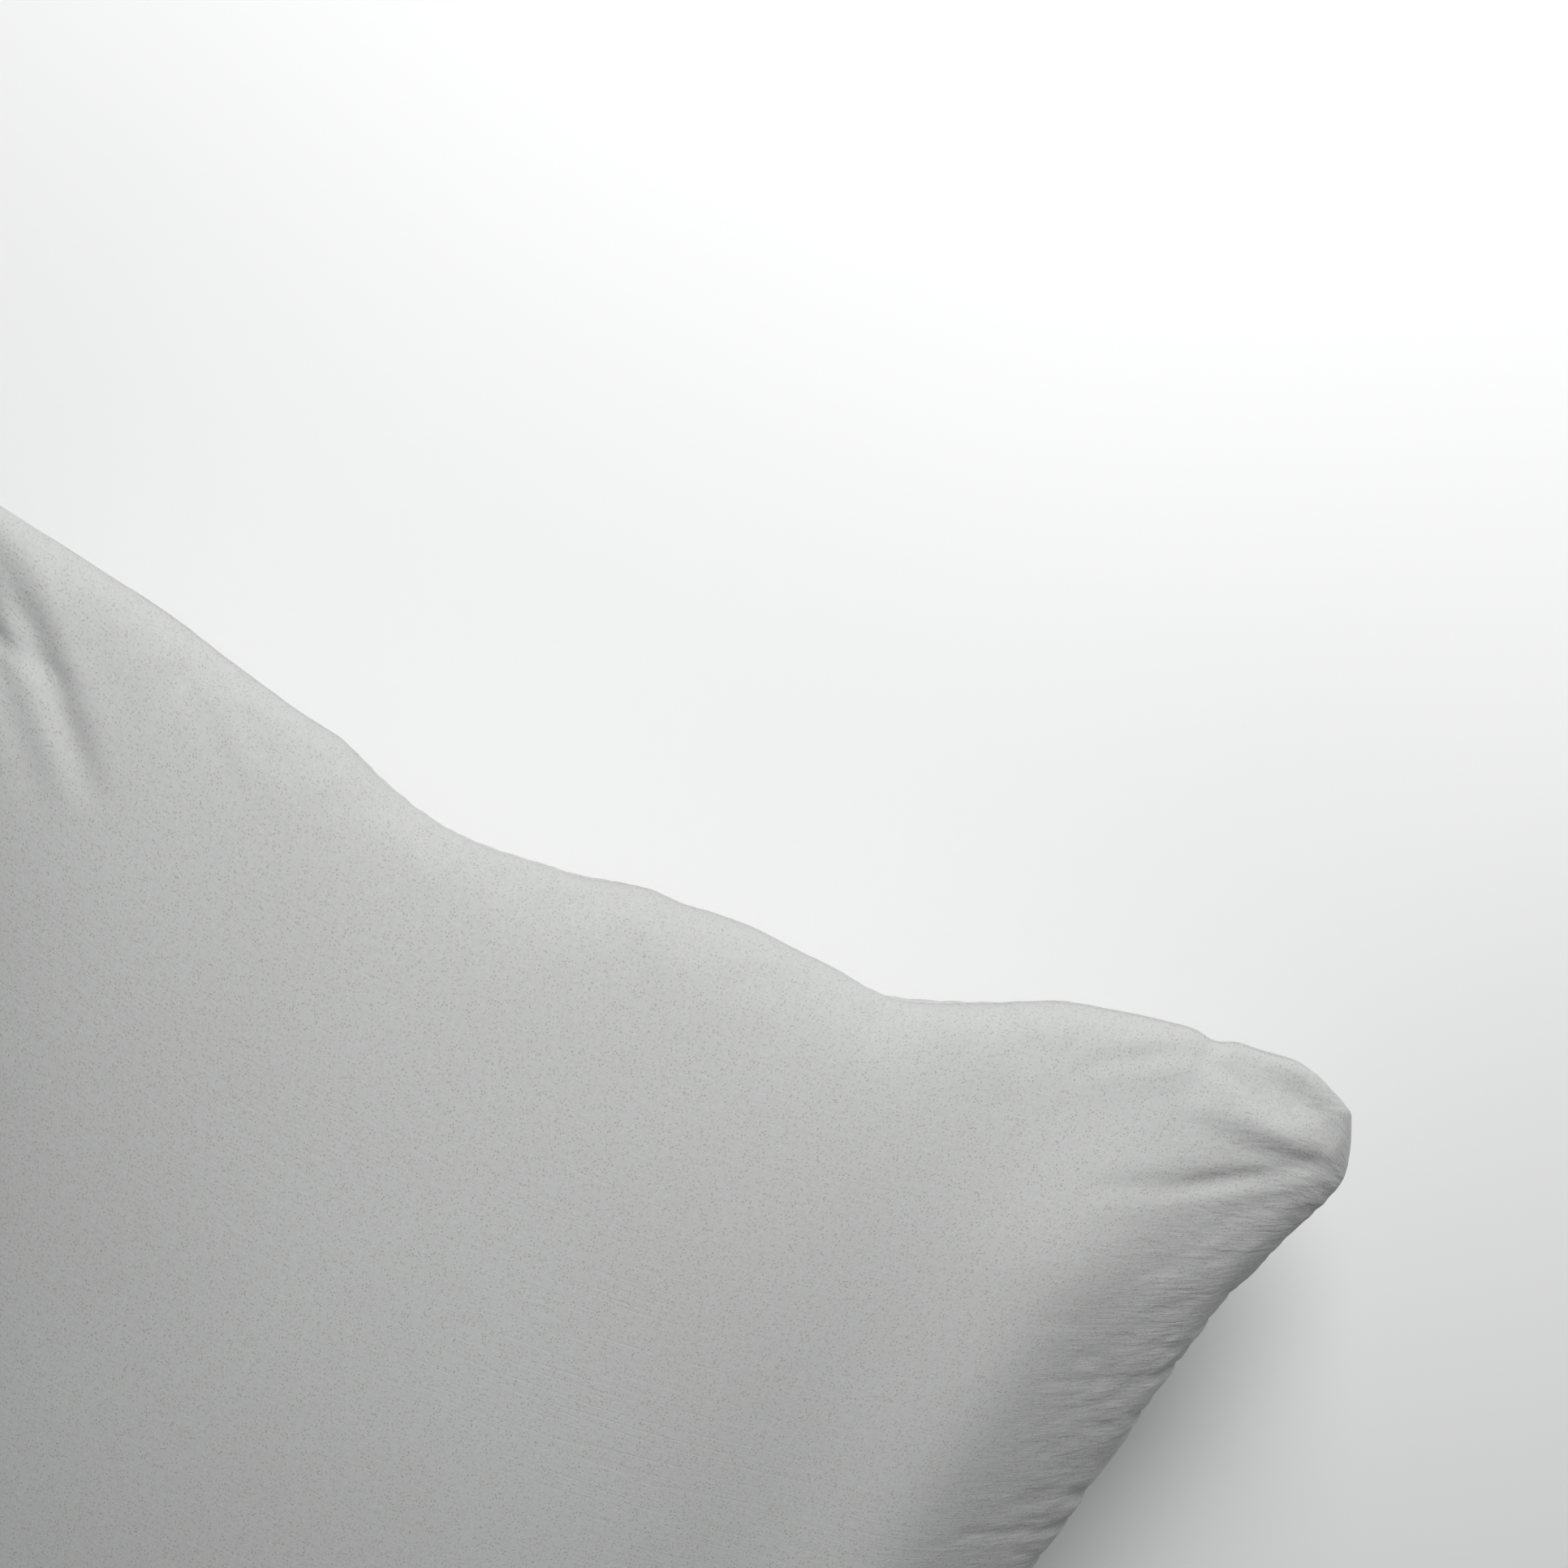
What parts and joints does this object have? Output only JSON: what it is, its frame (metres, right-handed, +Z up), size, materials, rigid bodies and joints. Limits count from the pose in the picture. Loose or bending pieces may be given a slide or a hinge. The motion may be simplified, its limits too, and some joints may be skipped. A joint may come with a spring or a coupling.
{
  "type": "bed pillow",
  "caption": "Rectangular bed pillow in a plain woven zipped cover: crowned faces, sides drawn in between rounded ears, lying on a flattened back panel.",
  "frame": {"origin": "on the surface the pillow lies on, under the middle of its bounding box", "axes": "+X along the length, away from the zipped end; +Y across the width; +Z up through the crown"},
  "size_m": [0.7258, 0.4812, 0.17],
  "materials": {
    "cover_cloth": "fine plain weave, matt",
    "zip_tape": "woven tape",
    "zip_coil": "moulded coil",
    "zip_metal": "satin plated",
    "label_tape": "satin ribbon, blank",
    "ticking": "close weave, matt",
    "fibre": "loose fibre"
  },
  "bodies": {
    "pillow": {"cover_top_panel": "cover_cloth", "cover_bottom_panel": "cover_cloth", "cover_seam_allowance": "cover_cloth", "zip_guard_flap": "cover_cloth", "zip_tape_upper": "zip_tape", "zip_tape_lower": "zip_tape", "zip_coil_upper": "zip_coil", "zip_coil_lower": "zip_coil", "zip_top_stop_upper": "zip_metal", "zip_top_stop_lower": "zip_metal", "zip_bottom_stop": "zip_metal", "care_label": "label_tape", "inner_casing_top": "ticking", "inner_casing_bottom": "ticking", "fibre_fill": "fibre"},
    "slider": {"zip_slider": "zip_metal"},
    "pull_tab": {"zip_pull_tab": "zip_metal"}
  },
  "joints": [
    {"name": "zip_travel", "type": "slide", "parent": "pillow", "child": "slider", "axis": [0, -1, 0], "range_m": [0, 0.286]},
    {"name": "pull_tab_swing", "type": "hinge", "parent": "slider", "child": "pull_tab", "pos_m": [-0.34681, 0.1432, 0.072], "axis": [0, 0, -1], "range_deg": [0, 175]}
  ]
}
